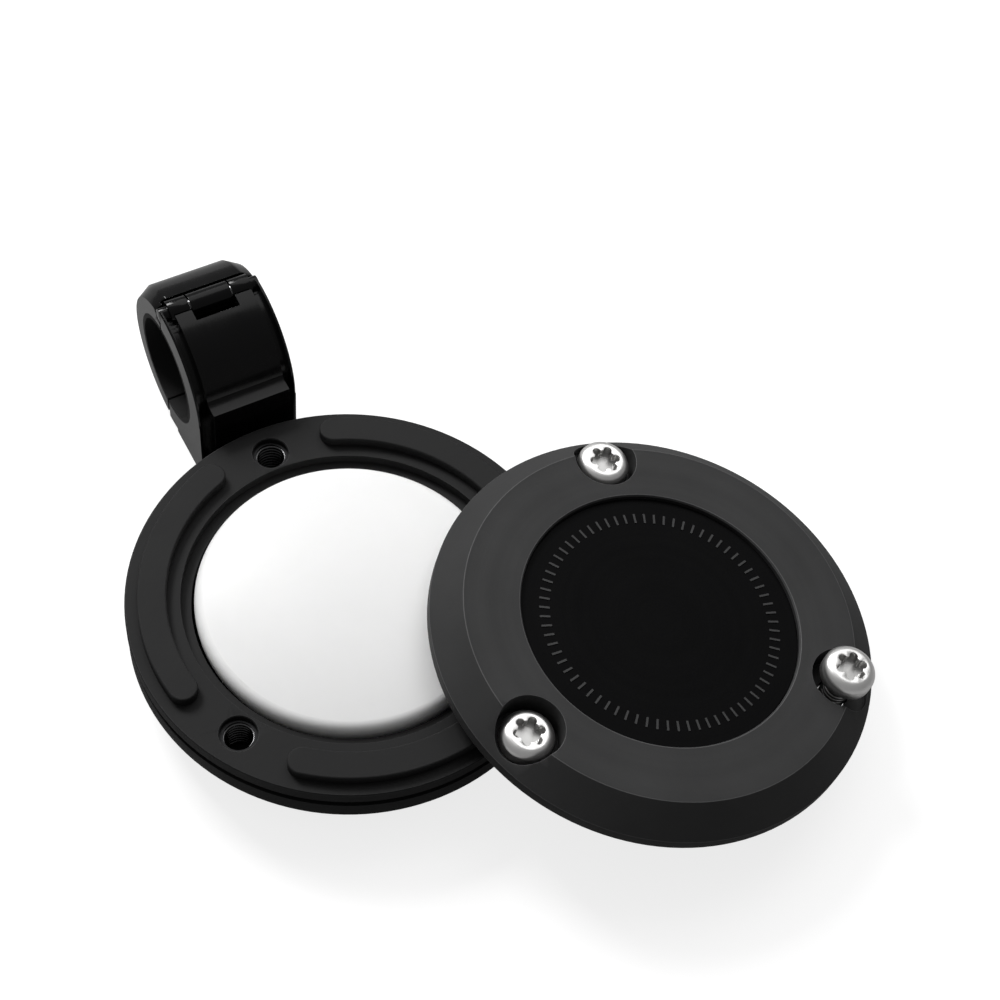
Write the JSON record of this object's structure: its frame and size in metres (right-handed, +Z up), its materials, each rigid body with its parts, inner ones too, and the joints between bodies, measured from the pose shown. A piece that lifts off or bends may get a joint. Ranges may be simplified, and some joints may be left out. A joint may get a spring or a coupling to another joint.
{
  "type": "tracker tag holder",
  "caption": "Round screw-down case that holds a coin-shaped tracker tag, with a hinged rubber-lined clamp ring on its rim, shown with its cover loose beside the tag.",
  "frame": {"origin": "middle of the case's flat underside", "axes": "+Z up out of the open case, +Y from the case to the clamp ring, +X along the clamp's bore"},
  "size_m": [0.0716, 0.0862, 0.0187],
  "materials": {
    "case_black": "fine matte black",
    "clamp_black": "satin black",
    "badge_black": "bare matte black",
    "insert_steel": "dark steel",
    "dark_steel": "blackened steel",
    "pin_steel": "bright steel",
    "screw_steel": "bright stainless steel",
    "foam": "closed foam",
    "liner_rubber": "matte",
    "seal_rubber": "matte",
    "tag_white": "gloss white",
    "tag_steel": "polished steel",
    "cell_steel": "satin",
    "chassis_plastic": "matte",
    "board_green": "lacquered",
    "sounder_brass": "satin"
  },
  "bodies": {
    "case": {"case_base": "case_black", "threaded_inserts": "insert_steel", "pocket_pad": "foam", "clamp_fixed_jaw": "clamp_black", "jaw_screws": "screw_steel", "hinge_pin": "pin_steel", "fixed_jaw_liner": "liner_rubber"},
    "swing_jaw": {"clamp_swing_jaw": "clamp_black", "swing_jaw_liner": "liner_rubber"},
    "clamp_screw": {"clamp_screw": "dark_steel"},
    "tag": {"tag_shell": "tag_white", "tag_back_cover": "tag_steel", "tag_coin_cell": "cell_steel", "tag_chassis": "chassis_plastic", "tag_circuit_board": "board_green", "tag_sounder": "sounder_brass"},
    "cover": {"cover": "case_black", "cover_badge": "badge_black", "cover_seal": "seal_rubber", "screw_retainers": "seal_rubber"},
    "cover_screw_1": {"cover_screw_1": "screw_steel"},
    "cover_screw_2": {"cover_screw_2": "screw_steel"},
    "cover_screw_3": {"cover_screw_3": "screw_steel"}
  },
  "joints": [
    {"name": "jaw_hinge", "type": "hinge", "parent": "case", "child": "swing_jaw", "pos_m": [0, 0.035, 0.0174], "axis": [1, 0, 0], "range_deg": [0, 100]},
    {"name": "clamp_screw_slide", "type": "slide", "parent": "swing_jaw", "child": "clamp_screw", "axis": [0, 1, 0], "range_m": [-0.0043, 0.004]},
    {"name": "cover_lift", "type": "slide", "parent": "case", "child": "cover", "axis": [0, 0, 1], "range_m": [0, 0.04]},
    {"name": "tag_lift", "type": "slide", "parent": "case", "child": "tag", "axis": [0, 0, 1], "range_m": [0, 0.014]},
    {"name": "cover_screw_1_slide", "type": "slide", "parent": "cover", "child": "cover_screw_1", "axis": [0.1204, -0.0637, 0.9907], "range_m": [-0.00095, 0.008]},
    {"name": "cover_screw_2_slide", "type": "slide", "parent": "cover", "child": "cover_screw_2", "axis": [0.1204, -0.0637, 0.9907], "range_m": [0, 0.008]},
    {"name": "cover_screw_3_slide", "type": "slide", "parent": "cover", "child": "cover_screw_3", "axis": [0.1204, -0.0637, 0.9907], "range_m": [-0.0035, 0.008]}
  ],
  "couplings": [
    {"joint": "tag_lift", "follows": "cover_lift", "ratio": 0.35}
  ]
}
